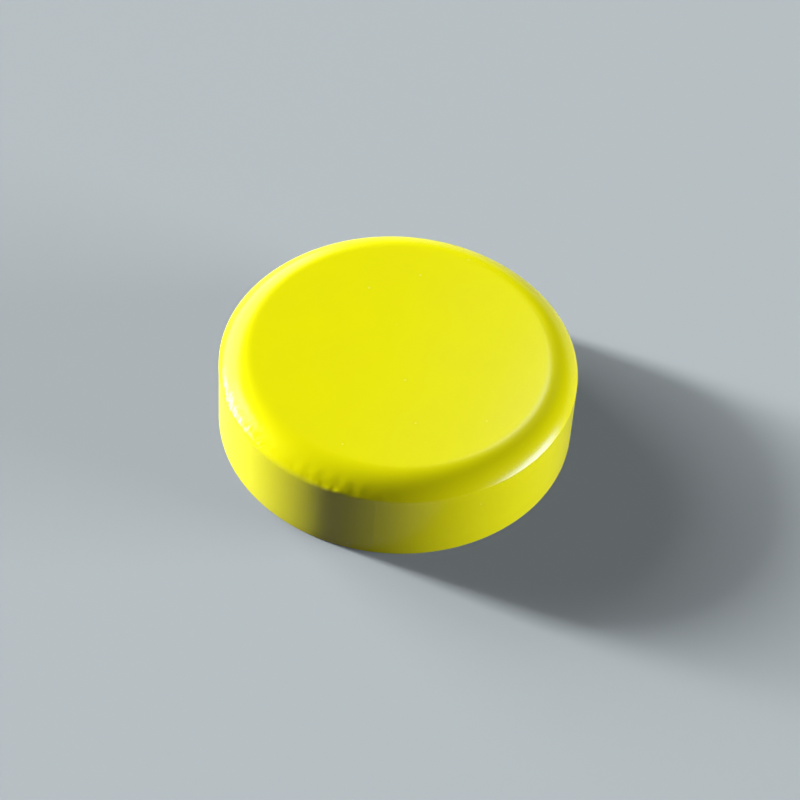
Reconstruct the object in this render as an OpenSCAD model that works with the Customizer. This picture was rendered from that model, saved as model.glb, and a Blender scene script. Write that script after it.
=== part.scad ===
// Disc magnet: a flat round magnet sealed inside one moulded skin of glossy plastic.
// The origin is the centre of the flat underside, and +Z is the axis, towards the rounded face.

/* [Disc] */
// Diameter over the straight wall
disc_d = 16.3; // [10:0.1:30]
// Height of the straight wall, from the underside to the parting line
wall_h = 3.6; // [1.5:0.1:8]

/* [Shoulder] */
// How far the shoulder reaches in from the wall to the edge of the flat top
shoulder_w = 1.5; // [1.2:0.1:4]
// How far the flat top stands above the parting line
shoulder_rise = 0.8; // [0.3:0.05:1.1]

/* [Foot] */
// Radius on the edge round the underside
foot_r = 0.1; // [0.05:0.05:0.6]

/* [Hidden] */
skin_colour = [0.9, 0.89, 0.03];
$fn = 180;

wall_x = disc_d / 2;
top_z = wall_h + shoulder_rise;
foot_x = wall_x - foot_r;

// The shoulder is one arc: tangent to the flat top, it comes down to the wall at the parting line
shoulder_r = (pow(shoulder_w, 2) + pow(shoulder_rise, 2)) / (2 * shoulder_rise);
shoulder_x = wall_x - shoulder_w;
shoulder_z = top_z - shoulder_r;

// Half section of the lower mould half: flat underside, rounded foot and straight wall
module skirt_section() {
    translate([foot_x, foot_r]) circle(r = foot_r);
    square([foot_x, wall_h]);
    translate([0, foot_r]) square([wall_x, wall_h - foot_r]);
}

// Half section of the upper mould half: the flat top, and the arc from it down to the crease
module crown_section() {
    square([shoulder_x, top_z]);
    intersection() {
        translate([shoulder_x, shoulder_z]) circle(r = shoulder_r);
        translate([shoulder_x, wall_h]) square([shoulder_w, shoulder_rise]);
    }
}

// Half section of the whole disc, turned about the axis to make it
module disc_section() {
    skirt_section();
    crown_section();
}

module disc_magnet() {
    color(skin_colour) rotate_extrude() disc_section();
}

disc_magnet();
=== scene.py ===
"""Looks of a glossy lemon-yellow disc magnet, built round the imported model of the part.

The disc stands on the world origin with +Z along its axis. All lengths are in metres and all
angles in degrees, unless a description says otherwise. Azimuths run from +X towards +Y.
"""

import logging
import math
from dataclasses import dataclass, field
from enum import Enum

import bmesh
import bpy
from mathutils import Matrix, Vector, noise


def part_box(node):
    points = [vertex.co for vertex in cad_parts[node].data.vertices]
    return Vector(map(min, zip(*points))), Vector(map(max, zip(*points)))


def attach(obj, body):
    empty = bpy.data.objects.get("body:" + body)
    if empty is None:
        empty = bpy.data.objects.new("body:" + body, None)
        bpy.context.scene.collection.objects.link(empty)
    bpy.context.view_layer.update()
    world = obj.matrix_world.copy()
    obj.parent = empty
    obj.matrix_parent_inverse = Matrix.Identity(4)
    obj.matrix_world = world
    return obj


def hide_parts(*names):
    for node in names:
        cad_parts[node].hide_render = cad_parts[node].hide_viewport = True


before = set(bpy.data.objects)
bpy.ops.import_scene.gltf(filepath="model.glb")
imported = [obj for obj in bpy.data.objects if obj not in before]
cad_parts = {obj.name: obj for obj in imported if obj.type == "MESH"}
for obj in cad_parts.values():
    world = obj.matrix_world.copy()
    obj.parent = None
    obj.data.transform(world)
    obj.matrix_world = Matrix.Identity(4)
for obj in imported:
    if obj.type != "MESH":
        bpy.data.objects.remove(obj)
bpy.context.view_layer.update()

log = logging.getLogger("disc_magnet")

MM = 0.001
DISC_NODE = "disc_magnet"
DISC_BODY = "root"

FULL_TURN = 360.0
HALF_TURN = 180.0
# The values between which a noise mostly lies
NOISE_START = 0.3
NOISE_STOP = 0.7
# The middle of a light's face, as a share of its width or height
FACE_MIDDLE = 0.5

Colour = tuple[float, float, float]


class Zone(Enum):
    """The stretches of the disc's section, from the axis underneath round to the axis on top."""

    UNDERSIDE = "underside"
    FOOT = "foot"
    WALL = "wall"
    CREASE = "crease"
    SHOULDER = "shoulder"
    TOP = "top"


@dataclass(frozen=True)
class SectionPoint:
    """One point of the half section.

    Attributes:
        r: Distance from the axis.
        z: Height.
        tilt: Angle of the surface's normal from +Z, in radians.
        zone: The stretch that the point belongs to.
        past_crease: On the wall and the shoulder, the distance along the section from the crease,
            positive towards the top. Elsewhere 0.
    """

    r: float
    z: float
    tilt: float
    zone: Zone
    past_crease: float


def bell(offset: float, width: float) -> float:
    """Gives a smooth hump that is 1 at no offset and fades out over the width."""
    return math.exp(-((offset / width) ** 2))


def turn_between(azimuth: float, other: float) -> float:
    """Gives the signed angle from one azimuth to another, in degrees from -180 to 180."""
    return (azimuth - other + HALF_TURN) % FULL_TURN - HALF_TURN


class NodePlan:
    """A node tree with short ways to add to it."""

    def __init__(self, owner: bpy.types.Material | bpy.types.World | bpy.types.Light) -> None:
        """Takes up a node tree.

        Args:
            owner: What the tree belongs to.
        """
        owner.use_nodes = True
        self.tree = owner.node_tree

    def inputs(self, name: str) -> bpy.types.NodeInputs:
        """Gives the inputs of one of the nodes that the tree starts with."""
        return self.tree.nodes[name].inputs

    def add(self, kind: str, **settings: object) -> bpy.types.Node:
        """Adds a node.

        Args:
            kind: The node's type.
            **settings: Properties to set on it.

        Returns:
            The new node.
        """
        node = self.tree.nodes.new(kind)
        for key, value in settings.items():
            setattr(node, key, value)
        return node

    def link(self, source: bpy.types.NodeSocket, target: bpy.types.NodeSocket) -> None:
        """Joins an output to an input."""
        self.tree.links.new(source, target)

    def noise(self, size: float, detail: float) -> bpy.types.NodeSocket:
        """Adds a noise in the object's own space.

        Args:
            size: Length of one wave.
            detail: How many finer layers it has.

        Returns:
            The noise's value.
        """
        place = self.add("ShaderNodeTexCoord")
        texture = self.add("ShaderNodeTexNoise")
        texture.inputs["Scale"].default_value = 1.0 / size
        texture.inputs["Detail"].default_value = detail
        self.link(place.outputs["Object"], texture.inputs["Vector"])
        return texture.outputs["Fac"]

    def spread(self, source: bpy.types.NodeSocket, low: float, high: float,
               start: float = NOISE_START, stop: float = NOISE_STOP) -> bpy.types.NodeSocket:
        """Maps a value smoothly onto another range, by default from where a noise mostly lies.

        Args:
            source: The value.
            low: The result at the start.
            high: The result at the stop.
            start: The value that gives the low result.
            stop: The value that gives the high result.

        Returns:
            The mapped value.
        """
        node = self.add("ShaderNodeMapRange", interpolation_type="SMOOTHSTEP")
        node.inputs["From Min"].default_value = start
        node.inputs["From Max"].default_value = stop
        node.inputs["To Min"].default_value = low
        node.inputs["To Max"].default_value = high
        self.link(source, node.inputs["Value"])
        return node.outputs["Result"]

    def looked_at(self) -> bpy.types.NodeSocket:
        """Tells whether a ray comes from the camera, a reflection or a clear body.

        Returns:
            1 where it does and 0 where it doesn't.
        """
        path = self.add("ShaderNodeLightPath").outputs
        mirrored = self.maths("MAXIMUM", path["Is Glossy Ray"], path["Is Transmission Ray"])
        return self.maths("MAXIMUM", path["Is Camera Ray"], mirrored)

    def maths(self, operation: str, first: bpy.types.NodeSocket,
              second: bpy.types.NodeSocket) -> bpy.types.NodeSocket:
        """Combines two values.

        Args:
            operation: The kind of maths.
            first: The first value.
            second: The second value.

        Returns:
            The result.
        """
        node = self.add("ShaderNodeMath", operation=operation)
        self.link(first, node.inputs[0])
        self.link(second, node.inputs[1])
        return node.outputs["Value"]

    def blend(self, share: bpy.types.NodeSocket, first: Colour | bpy.types.NodeSocket,
              second: Colour | bpy.types.NodeSocket) -> bpy.types.NodeSocket:
        """Mixes two colours.

        Args:
            share: How much of the second colour there is.
            first: The first colour.
            second: The second colour.

        Returns:
            The mixed colour.
        """
        node = self.add("ShaderNodeMix", data_type="RGBA")
        self.link(share, node.inputs["Factor"])
        for key, colour in (("A", first), ("B", second)):
            socket = next(s for s in node.inputs if s.name == key and s.type == "RGBA")
            if isinstance(colour, bpy.types.NodeSocket):
                self.link(colour, socket)
            else:
                socket.default_value = (*colour, 1.0)
        return next(s for s in node.outputs if s.type == "RGBA")


@dataclass(frozen=True)
class MouldedGloss:
    """Dense lemon-yellow plastic with a moulded gloss.

    Attributes:
        yellow: Base colour, linear RGB.
        deeper: The same colour where the pigment lies a little denser.
        cloud: Size of the colour's soft clouds.
        cloud_detail: How many finer layers the clouds have.
        speck_colour: Colour of the tiny pale specks.
        speck_gap: Usual distance between places where a speck may be.
        speck_radius: Radius of a speck.
        speck_share: How many of those places have one, from 0 to 1.
        speck_edge: How far past that share the specks fade away.
        speck_core: Share of a speck's radius that has its full colour.
        gloss: Lowest and highest roughness.
        gloss_detail: How many finer layers the roughness has.
        peel: Size of the waves left by the mould's polish.
        peel_height: Height of those waves.
        grain: Size of the finest unevenness.
        grain_height: Height of the finest unevenness.
        relief_detail: How many finer layers the waves and the unevenness have.
        ior: Index of refraction.
    """

    yellow: Colour = (0.815, 0.785, 0.0)
    deeper: Colour = (0.805, 0.77, 0.0)
    cloud: float = 3.2 * MM
    cloud_detail: float = 2.0
    speck_colour: Colour = (0.89, 0.87, 0.11)
    speck_gap: float = 1.15 * MM
    speck_radius: float = 0.08 * MM
    speck_share: float = 0.95
    speck_edge: float = 0.01
    speck_core: float = 0.3
    gloss: tuple[float, float] = (0.18, 0.22)
    gloss_detail: float = 4.0
    peel: float = 0.9 * MM
    peel_height: float = 0.003 * MM
    grain: float = 0.16 * MM
    grain_height: float = 0.0006 * MM
    relief_detail: float = 1.0
    ior: float = 1.42

    def material(self, name: str) -> bpy.types.Material:
        """Builds the node material.

        Args:
            name: The material's name.

        Returns:
            The new material.
        """
        material = bpy.data.materials.new(name)
        plan = NodePlan(material)
        shader = plan.inputs("Principled BSDF")
        shader["IOR"].default_value = self.ior
        specks = self.specks(plan)
        clouds = plan.spread(plan.noise(self.cloud, self.cloud_detail), 0.0, 1.0)
        skin = plan.blend(clouds, self.yellow, self.deeper)
        plan.link(plan.blend(specks, skin, self.speck_colour), shader["Base Color"])
        unevenness = plan.noise(self.cloud, self.gloss_detail)
        plan.link(plan.spread(unevenness, *self.gloss), shader["Roughness"])
        height = plan.add("ShaderNodeBump")
        height.inputs["Distance"].default_value = self.peel_height
        plan.link(plan.noise(self.peel, self.relief_detail), height.inputs["Height"])
        fine = plan.add("ShaderNodeBump")
        fine.inputs["Distance"].default_value = self.grain_height
        plan.link(plan.noise(self.grain, self.relief_detail), fine.inputs["Height"])
        plan.link(height.outputs["Normal"], fine.inputs["Normal"])
        plan.link(fine.outputs["Normal"], shader["Normal"])
        return material

    def specks(self, plan: NodePlan) -> bpy.types.NodeSocket:
        """Adds the few tiny specks, one at most in each cell of a scattered pattern.

        Args:
            plan: The material's node tree.

        Returns:
            How much of a speck there is.
        """
        place = plan.add("ShaderNodeTexCoord")
        cells = plan.add("ShaderNodeTexVoronoi")
        cells.inputs["Scale"].default_value = 1.0 / self.speck_gap
        plan.link(place.outputs["Object"], cells.inputs["Vector"])
        size = self.speck_radius / self.speck_gap
        dot = plan.spread(cells.outputs["Distance"], 1.0, 0.0, self.speck_core * size, size)
        split = plan.add("ShaderNodeSeparateColor")
        plan.link(cells.outputs["Color"], split.inputs["Color"])
        chosen = plan.spread(split.outputs["Red"], 1.0, 0.0,
                             self.speck_share, self.speck_share + self.speck_edge)
        return plan.maths("MULTIPLY", dot, chosen)


@dataclass(frozen=True)
class WavyPatch:
    """A stretch of the crease that the mould's trimmed edge left wavy.

    Attributes:
        azimuth: Where the waves are strongest.
        half_width: How far they reach to either side, in degrees.
        wave: Length of a wave.
        depth: Height of the waves.
        sway: How far the crease wanders up and down.
        above: How far the waves run up the shoulder.
        below: How far they run down the wall.
        fading: How quickly the finer layers of the waves lose height.
        finer: How much finer each layer is than the one before.
        layers: How many layers the waves have.
    """

    azimuth: float
    half_width: float
    wave: float
    depth: float
    sway: float
    above: float
    below: float
    fading: float = 0.9
    finer: float = 2.0
    layers: int = 3

    def shift(self, point: SectionPoint, azimuth: float, spot: Vector, normal: Vector) -> Vector:
        """Works out how far the skin strays from its true form.

        Args:
            point: The point of the section.
            azimuth: Where it stands round the axis.
            spot: The point in space.
            normal: The surface's normal there.

        Returns:
            The displacement.
        """
        strength = bell(turn_between(azimuth, self.azimuth), self.half_width)
        strength *= bell(point.past_crease, self.above if point.past_crease > 0.0 else self.below)
        waves = noise.fractal(spot / self.wave, self.fading, self.finer, self.layers)
        lift = self.depth * strength * waves
        sway = self.sway * strength * noise.noise(Vector((spot.x, spot.y, 0.0)) / self.wave)
        return normal * lift + Vector((0.0, 0.0, sway))


@dataclass(frozen=True)
class MouldMarks:
    """What the mould leaves on the skin: wavy stretches of the crease and one faint upright line.

    Attributes:
        patches: The wavy stretches.
        line_azimuth: Where the upright line stands on the wall.
        line_width: Width of the line.
        line_height: How far the line stands out.
    """

    patches: tuple[WavyPatch, ...] = (
        WavyPatch(azimuth=255.0, half_width=15.0, wave=0.45 * MM, depth=0.003 * MM,
                  sway=0.05 * MM, above=0.45 * MM, below=0.3 * MM),
        WavyPatch(azimuth=250.0, half_width=13.0, wave=0.27 * MM, depth=0.0012 * MM,
                  sway=0.03 * MM, above=0.15 * MM, below=0.12 * MM),
        WavyPatch(azimuth=207.0, half_width=14.0, wave=0.33 * MM, depth=0.022 * MM,
                  sway=0.02 * MM, above=0.5 * MM, below=0.25 * MM),
        WavyPatch(azimuth=216.0, half_width=11.0, wave=0.17 * MM, depth=0.014 * MM,
                  sway=0.0, above=0.6 * MM, below=0.15 * MM),
    )
    line_azimuth: float = 266.0
    line_width: float = 0.10 * MM
    line_height: float = 0.003 * MM

    def shift(self, point: SectionPoint, azimuth: float, spot: Vector, normal: Vector) -> Vector:
        """Adds up all the marks at a point.

        Args:
            point: The point of the section.
            azimuth: Where it stands round the axis.
            spot: The point in space.
            normal: The surface's normal there.

        Returns:
            The displacement.
        """
        if point.zone in (Zone.UNDERSIDE, Zone.FOOT, Zone.TOP):
            return Vector()
        total = sum((patch.shift(point, azimuth, spot, normal) for patch in self.patches), Vector())
        if point.zone is Zone.WALL:
            away = math.radians(turn_between(azimuth, self.line_azimuth)) * point.r
            total += normal * self.line_height * bell(away, self.line_width / 2)
        return total


@dataclass(frozen=True)
class Spacing:
    """Where the points of the section stand on each of its stretches.

    Attributes:
        underside: Shares of the flat underside's radius.
        foot: Steps round the foot.
        wall: Shares of the wall's height, closer together towards the crease.
        crease: Steps round the crease.
        shoulder: Steps up the shoulder.
        top: Shares of the flat top's radius.
    """

    underside: tuple[float, ...] = (0.3, 0.7, 0.97)
    foot: int = 7
    wall: tuple[float, ...] = (0.25, 0.5, 0.7, 0.85, 0.93, 0.965, 0.985, 0.995)
    crease: int = 8
    shoulder: int = 40
    top: tuple[float, ...] = (0.97, 0.8, 0.5, 0.2)


@dataclass
class DiscMagnet:
    """The disc: flat underside, crisp foot, straight wall, crease, rounded shoulder and flat top.

    Attributes:
        radius: Radius over the wall.
        height: Height of the flat top.
        shoulder_width: How far the shoulder reaches in from the wall.
        shoulder_rise: How far the flat top stands above the crease.
        foot_radius: Radius of the edge round the underside.
        crease_radius: Radius on the crease where it is crisp.
        soft_crease: Radius on the crease where it is softest.
        soft_stretch: Azimuth and half width of that soft stretch.
        step: Usual angle between two sections.
        fine_step: Angle between two sections on the marked stretch of the front.
        fine_stretch: First and last azimuth of that stretch.
        glows: Whether the disc throws its own yellow on the floor.
        spacing: Where the points of the section stand.
        gloss: The skin's finish.
        marks: What the mould leaves on the skin.
    """

    radius: float
    height: float
    shoulder_width: float = 1.5 * MM
    shoulder_rise: float = 0.8 * MM
    foot_radius: float = 0.1 * MM
    crease_radius: float = 0.06 * MM
    soft_crease: float = 0.55 * MM
    soft_stretch: tuple[float, float] = (233.0, 24.0)
    step: float = 0.6
    fine_step: float = 0.22
    fine_stretch: tuple[float, float] = (186.0, 273.0)
    glows: bool = False
    spacing: Spacing = field(default_factory=Spacing)
    gloss: MouldedGloss = field(default_factory=MouldedGloss)
    marks: MouldMarks = field(default_factory=MouldMarks)

    def crease_at(self, azimuth: float) -> float:
        """Gives the crease's radius at an azimuth."""
        soft = bell(turn_between(azimuth, self.soft_stretch[0]), self.soft_stretch[1])
        return self.crease_radius + (self.soft_crease - self.crease_radius) * soft

    def section(self, crease: float) -> list[SectionPoint]:
        """Works out the half section.

        Args:
            crease: The crease's radius.

        Returns:
            The points from underneath round to the top.
        """
        arc = (self.shoulder_width**2 + self.shoulder_rise**2) / (2 * self.shoulder_rise)
        arc_x, arc_z = self.radius - self.shoulder_width, self.height - arc
        crease_x = self.radius - crease
        reach = self.shoulder_width - crease
        crease_z = arc_z + math.sqrt((arc - crease) ** 2 - reach**2)
        slope = math.asin(reach / (arc - crease))
        level = math.pi / 2
        foot_x = self.radius - self.foot_radius
        points: list[SectionPoint] = []

        def put(r: float, z: float, tilt: float, zone: Zone) -> None:
            """Adds one point, measured from the crease."""
            past = {Zone.WALL: z - crease_z, Zone.SHOULDER: arc * (slope - tilt)}.get(zone, 0.0)
            points.append(SectionPoint(r, z, tilt, zone, past))

        for share in self.spacing.underside:
            put(foot_x * share, 0.0, math.pi, Zone.UNDERSIDE)
        for part in range(self.spacing.foot + 1):
            turn = level * part / self.spacing.foot
            put(foot_x + self.foot_radius * math.sin(turn),
                self.foot_radius * (1 - math.cos(turn)), math.pi - turn, Zone.FOOT)
        for share in self.spacing.wall:
            put(self.radius, self.foot_radius + (crease_z - self.foot_radius) * share, level, Zone.WALL)
        for part in range(self.spacing.crease + 1):
            turn = level - (level - slope) * part / self.spacing.crease
            put(crease_x + crease * math.sin(turn),
                crease_z + crease * math.cos(turn), turn, Zone.CREASE)
        for part in range(1, self.spacing.shoulder + 1):
            turn = slope * (1 - part / self.spacing.shoulder)
            put(arc_x + arc * math.sin(turn), arc_z + arc * math.cos(turn), turn, Zone.SHOULDER)
        for share in self.spacing.top:
            put(arc_x * share, self.height, 0.0, Zone.TOP)
        return points

    def azimuths(self) -> list[float]:
        """Lists where the sections stand round the axis, closer together on the marked stretch.

        Returns:
            The azimuths, once round.
        """
        start, stop = self.fine_stretch
        marked = stop - start
        plain = FULL_TURN - marked
        fine = round(marked / self.fine_step)
        wide = round(plain / self.step)
        turns = [start + marked * k / fine for k in range(fine)]
        return turns + [stop + plain * k / wide for k in range(wide)]

    def build(self) -> bpy.types.Object:
        """Turns the section into a closed mesh.

        Returns:
            The disc's object.
        """
        turns = self.azimuths()
        sections = [self.section(self.crease_at(turn)) for turn in turns]
        mesh = bmesh.new()
        rings = [[mesh.verts.new(self.place(point, turn)) for point, turn in zip(ring, turns)]
                 for ring in zip(*sections)]
        following = list(range(1, len(turns))) + [0]
        for low, high in zip(rings, rings[1:]):
            for here, onward in enumerate(following):
                mesh.faces.new((low[here], low[onward], high[onward], high[here]))
        under = mesh.verts.new((0.0, 0.0, 0.0))
        over = mesh.verts.new((0.0, 0.0, self.height))
        for here, onward in enumerate(following):
            mesh.faces.new((rings[0][onward], rings[0][here], under))
            mesh.faces.new((rings[-1][here], rings[-1][onward], over))
        data = bpy.data.meshes.new("disc_magnet_skin")
        mesh.to_mesh(data)
        mesh.free()
        data.shade_smooth()
        piece = bpy.data.objects.new("disc_magnet_skin", data)
        piece.visible_diffuse = self.glows
        bpy.context.scene.collection.objects.link(piece)
        return piece

    def place(self, point: SectionPoint, azimuth: float) -> Vector:
        """Puts a point of the section at an azimuth, with the mould's marks.

        Args:
            point: The point of the section.
            azimuth: Where the section stands.

        Returns:
            The point in space.
        """
        angle = math.radians(azimuth)
        out = Vector((math.cos(angle), math.sin(angle), 0.0))
        spot = out * point.r + Vector((0.0, 0.0, point.z))
        normal = out * math.sin(point.tilt) + Vector((0.0, 0.0, math.cos(point.tilt)))
        return spot + self.marks.shift(point, azimuth, spot, normal)

    def dress(self, piece: bpy.types.Object) -> None:
        """Gives the disc its skin's material and its place on the frame.

        Args:
            piece: The disc's object.
        """
        piece.data.materials.append(self.gloss.material("lemon_yellow_gloss"))
        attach(piece, DISC_BODY)
        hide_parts(DISC_NODE)


@dataclass(frozen=True)
class PaleBoard:
    """Plain pale board, which throws little light back up at the disc.

    Attributes:
        seen: Colour that is seen, also in reflections.
        thrown: Colour of the light that it throws back.
        roughness: Roughness of the board.
        sheen: Strength of its reflections.
    """

    seen: Colour = (0.45, 0.492, 0.518)
    thrown: Colour = (0.09, 0.07, 0.045)
    roughness: float = 0.9
    sheen: float = 0.0

    def material(self, name: str) -> bpy.types.Material:
        """Builds the node material.

        Args:
            name: The material's name.

        Returns:
            The new material.
        """
        material = bpy.data.materials.new(name)
        plan = NodePlan(material)
        shader = plan.inputs("Principled BSDF")
        shader["Roughness"].default_value = self.roughness
        shader["Specular IOR Level"].default_value = self.sheen
        plan.link(plan.blend(plan.looked_at(), self.thrown, self.seen), shader["Base Color"])
        return material


@dataclass
class Floor:
    """The plain pale surface under the disc.

    Attributes:
        half: Half its width.
        board: Its finish.
    """

    half: float = 1.5
    board: PaleBoard = field(default_factory=PaleBoard)

    def build(self) -> bpy.types.Object:
        """Builds the floor.

        Returns:
            The floor's object.
        """
        data = bpy.data.meshes.new("floor")
        far, near = self.half, -self.half
        corners = [(near, near, 0), (far, near, 0), (far, far, 0), (near, far, 0)]
        data.from_pydata(corners, [], [(0, 1, 2, 3)])
        floor = bpy.data.objects.new("floor", data)
        bpy.context.scene.collection.objects.link(floor)
        data.materials.append(self.board.material("pale_board"))
        return floor


@dataclass
class Camera:
    """The camera, close to the disc and well above it.

    Attributes:
        lens: Focal length in millimetres.
        sensor: Width of the sensor in millimetres.
        elevation: Height of the view above the floor.
        distance: Distance from the target.
        roll: Turn about the line of sight.
        target: The point that the camera looks at.
        nearest: Distance at which it starts to see.
        farthest: Distance at which it stops.
    """

    lens: float = 126.63
    sensor: float = 36.0
    elevation: float = 48.30
    distance: float = 128.40 * MM
    roll: float = 4.083
    target: tuple[float, float, float] = (0.1752 * MM, -0.7264 * MM, 2.0 * MM)
    nearest: float = 1.0 * MM
    farthest: float = 10.0

    def build(self) -> bpy.types.Object:
        """Builds the camera and makes it the scene's.

        Returns:
            The camera's object.
        """
        lift = math.radians(self.elevation)
        back = Vector((0.0, -math.cos(lift), math.sin(lift)))
        data = bpy.data.cameras.new("photo_camera")
        data.lens = self.lens
        data.sensor_width = self.sensor
        data.clip_start = self.nearest
        data.clip_end = self.farthest
        camera = bpy.data.objects.new("photo_camera", data)
        bpy.context.scene.collection.objects.link(camera)
        turn = back.to_track_quat("Z", "Y").to_matrix().to_4x4()
        roll = Matrix.Rotation(math.radians(self.roll), 4, "Z")
        camera.matrix_world = Matrix.Translation(Vector(self.target) + back * self.distance) @ turn @ roll
        bpy.context.scene.camera = camera
        return camera


@dataclass(frozen=True)
class SoftLight:
    """One soft studio light that faces the disc.

    Attributes:
        name: The light's name.
        azimuth: Where it stands round the disc.
        elevation: How high it stands above the floor.
        spread: How wide it looks from the disc, in degrees.
        rise: How tall it looks from the disc, in degrees.
        radiance: How bright its face is in the middle, where 1 is white.
        distance: How far off it stands.
        tone: Colour of its light.
        feather: Share of its face that fades towards the edges, across and upright.
        mirrored: Whether the gloss shows it.
        lit: Whether it lights the matt share of a surface.
    """

    name: str
    azimuth: float
    elevation: float
    spread: float
    rise: float
    radiance: float
    distance: float
    tone: Colour = (1.0, 1.0, 1.0)
    feather: tuple[float, float] = (0.0, 0.0)
    mirrored: bool = True
    lit: bool = True

    def build(self) -> bpy.types.Object:
        """Builds the light.

        Returns:
            The light's object.
        """
        data = bpy.data.lights.new(self.name, "AREA")
        data.shape = "RECTANGLE"
        data.size = 2 * self.distance * math.tan(math.radians(self.spread / 2))
        data.size_y = 2 * self.distance * math.tan(math.radians(self.rise / 2))
        data.energy = self.radiance * math.pi * data.size * data.size_y
        data.color = self.tone
        if any(self.feather):
            self.fade(data)
        lamp = bpy.data.objects.new(self.name, data)
        bpy.context.scene.collection.objects.link(lamp)
        angle, lift = math.radians(self.azimuth), math.radians(self.elevation)
        level = math.cos(lift)
        way = Vector((math.cos(angle) * level, math.sin(angle) * level, math.sin(lift)))
        turn = way.to_track_quat("Z", "Y").to_matrix().to_4x4()
        lamp.matrix_world = Matrix.Translation(way * self.distance) @ turn
        lamp.visible_camera = False
        lamp.visible_glossy = self.mirrored
        lamp.visible_diffuse = self.lit
        return lamp

    def fade(self, data: bpy.types.Light) -> None:
        """Lets the light's face fade towards its edges.

        Args:
            data: The light's data.
        """
        plan = NodePlan(data)
        split = plan.add("ShaderNodeSeparateXYZ")
        plan.link(plan.add("ShaderNodeNewGeometry").outputs["Parametric"], split.inputs["Vector"])
        fades = []
        for axis, share in zip("XY", self.feather):
            away = plan.add("ShaderNodeMath", operation="PINGPONG")
            away.inputs[1].default_value = FACE_MIDDLE
            plan.link(split.outputs[axis], away.inputs[0])
            fades.append(plan.spread(away.outputs["Value"], 0.0, 1.0, 0.0, FACE_MIDDLE * share))
        plan.link(plan.maths("MULTIPLY", *fades), plan.inputs("Emission")["Strength"])


@dataclass
class Studio:
    """The lights round the disc and the plain surroundings.

    Attributes:
        ambient: Light from all round.
        seen: Colour of the pale surroundings that are seen, also in reflections.
        rim: How high they stand: the sines of the elevations where they start and end to fade.
        lights: The studio lights.
    """

    ambient: Colour = (0.0425, 0.05, 0.0475)
    seen: Colour = (0.485, 0.532, 0.557)
    rim: tuple[float, float] = (0.1, 0.3)
    lights: tuple[SoftLight, ...] = (
        SoftLight(name="key", azimuth=160.0, elevation=15.5, spread=6.0, rise=13.0,
                  radiance=266.0, distance=8.0, mirrored=False),
        SoftLight(name="left_fill", azimuth=148.0, elevation=17.0, spread=36.0, rise=32.0,
                  radiance=10.6, distance=8.0, mirrored=False),
        SoftLight(name="left_glow", azimuth=141.0, elevation=13.0, spread=84.0, rise=56.0,
                  radiance=3.4, distance=0.25, feather=(0.3, 0.35), lit=False),
        SoftLight(name="left_bloom", azimuth=165.0, elevation=32.0, spread=30.0, rise=26.0,
                  radiance=6.0, distance=0.25, feather=(0.8, 0.8), lit=False),
        SoftLight(name="right_fill", azimuth=-6.0, elevation=7.0, spread=30.0, rise=11.0,
                  radiance=38.5, distance=8.0, mirrored=False),
        SoftLight(name="right_strip", azimuth=-11.0, elevation=7.0, spread=54.0, rise=32.0,
                  radiance=21.0, distance=0.12, tone=(0.36, 0.44, 1.0), feather=(0.8, 0.7), lit=False),
        SoftLight(name="back_card", azimuth=60.0, elevation=49.5, spread=38.0, rise=26.0,
                  radiance=0.2, distance=0.08, tone=(0.7, 0.8, 1.0), lit=False),
        SoftLight(name="fold_card", azimuth=69.0, elevation=53.0, spread=16.0, rise=16.0,
                  radiance=6.3, distance=0.1, tone=(0.5, 0.6, 1.0), feather=(0.6, 0.6), lit=False),
        SoftLight(name="low_glint", azimuth=169.0, elevation=6.0, spread=42.0, rise=18.0,
                  radiance=25.0, distance=0.2, feather=(0.5, 0.8), lit=False),
    )

    def build(self) -> None:
        """Builds the lights and the world."""
        world = bpy.data.worlds.new("studio")
        bpy.context.scene.world = world
        plan = NodePlan(world)
        way = plan.add("ShaderNodeSeparateXYZ")
        plan.link(plan.add("ShaderNodeTexCoord").outputs["Generated"], way.inputs["Vector"])
        low = plan.spread(way.outputs["Z"], 1.0, 0.0, *self.rim)
        share = plan.maths("MULTIPLY", plan.looked_at(), low)
        surroundings = plan.blend(share, self.ambient, self.seen)
        plan.link(surroundings, plan.inputs("Background")["Color"])
        for light in self.lights:
            light.build()


def main() -> None:
    """Builds the disc, the floor, the lights and the camera."""
    logging.basicConfig(level=logging.INFO, format="%(name)s: %(message)s")
    bpy.context.scene.view_settings.view_transform = "Standard"
    low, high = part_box(DISC_NODE)
    disc = DiscMagnet(radius=(high.x - low.x) / 2, height=high.z)
    piece = disc.build()
    disc.dress(piece)
    log.info("%s: %d faces", piece.name, len(piece.data.polygons))
    log.info("%s: built", Floor().build().name)
    studio = Studio()
    studio.build()
    log.info("studio: %d lights", len(studio.lights))
    log.info("%s: built", Camera().build().name)


if __name__ == "__main__":
    main()
